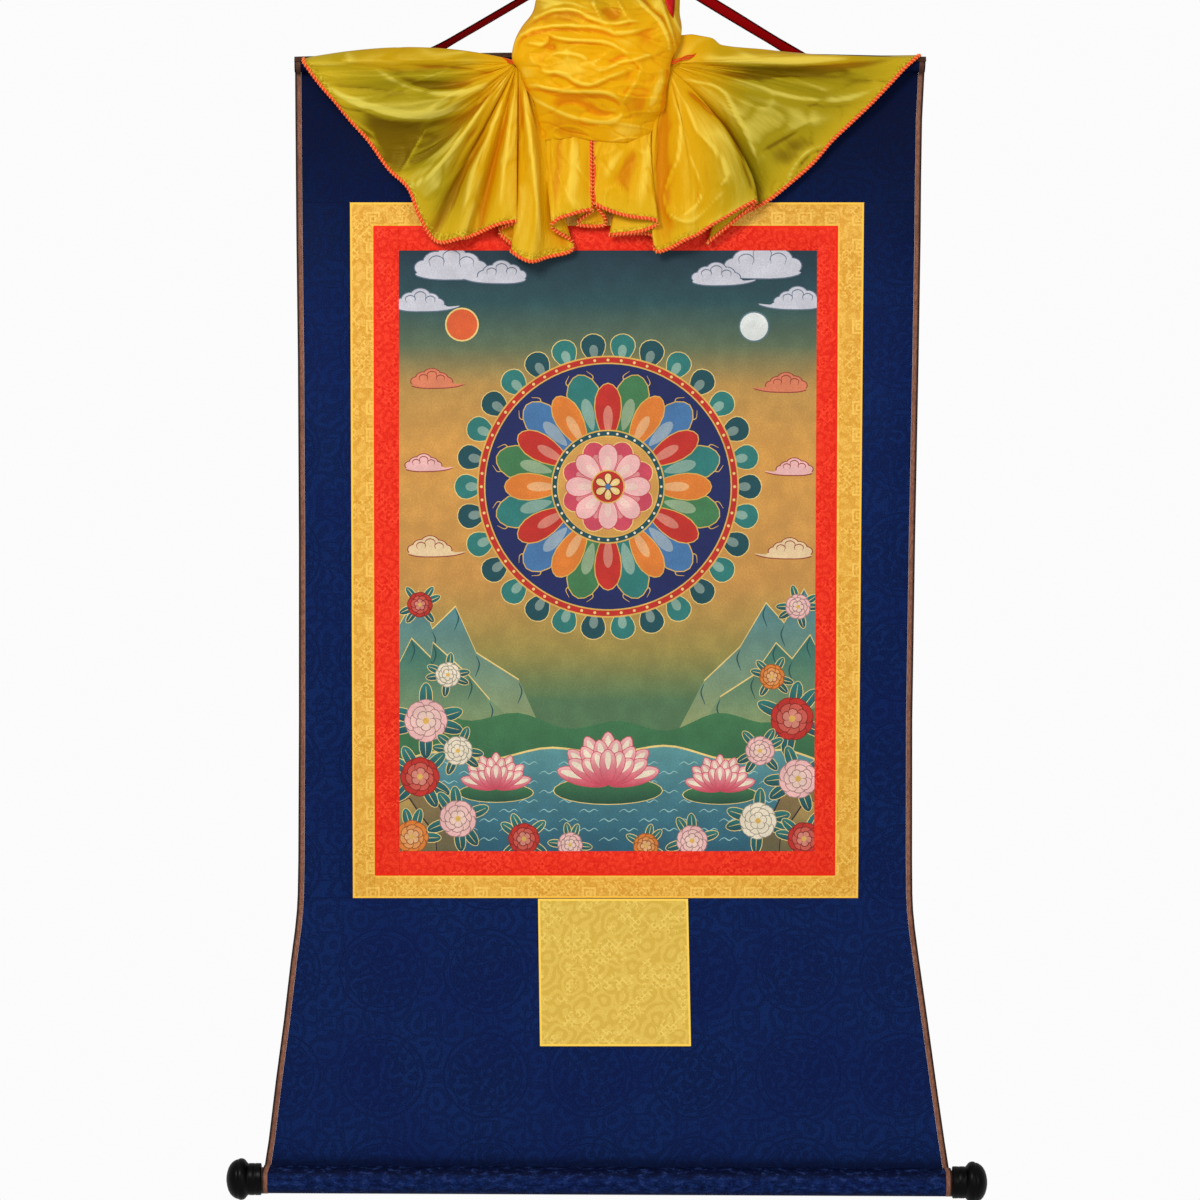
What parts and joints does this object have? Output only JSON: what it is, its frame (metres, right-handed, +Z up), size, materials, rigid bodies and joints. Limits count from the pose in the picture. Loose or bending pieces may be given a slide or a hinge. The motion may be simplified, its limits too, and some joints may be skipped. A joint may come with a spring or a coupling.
{
  "type": "thangka scroll painting on wooden rods",
  "caption": "Hanging scroll: a picture in gold and red brocade frames on a blue mount, between a top rod and a knobbed bottom rod, with a gathered yellow cover and a hanging tape.",
  "frame": {"origin": "underside of the hanging tape where it lies on its hook", "axes": "+Z up, -Y out of the picture towards the viewer, +X to the viewer's right"},
  "size_m": [0.759, 0.0636, 1.2532],
  "materials": {
    "blue_brocade": "matt woven silk-like brocade with a tone-on-tone pattern",
    "brown_binding": "narrow copper-brown satin binding",
    "gold_brocade": "gold damask brocade with a soft sheen",
    "pale_gold_brocade": "pale gold damask brocade with a soft sheen",
    "red_brocade": "red damask brocade with a soft sheen",
    "printed_picture": "picture printed on fine canvas, matt",
    "yellow_satin": "thin yellow satin, glossy, gathered",
    "red_tape": "dark red woven tape",
    "black_lacquer": "turned wood, black gloss lacquer",
    "dark_wood": "dark stained wood"
  },
  "bodies": {
    "root": {"top_rod": "dark_wood", "bottom_rod": "dark_wood", "knob_left": "black_lacquer", "knob_right": "black_lacquer", "mount_top": "blue_brocade", "mount_left": "blue_brocade", "mount_right": "blue_brocade", "mount_bottom": "blue_brocade", "binding_left": "brown_binding", "binding_right": "brown_binding", "binding_top": "brown_binding", "gold_left": "gold_brocade", "gold_right": "gold_brocade", "gold_top": "gold_brocade", "gold_bottom": "gold_brocade", "red_left": "red_brocade", "red_right": "red_brocade", "red_top": "red_brocade", "red_bottom": "red_brocade", "painting": "printed_picture", "door": "pale_gold_brocade", "cover": "yellow_satin", "hanging_cord": "red_tape"}
  },
  "joints": []
}
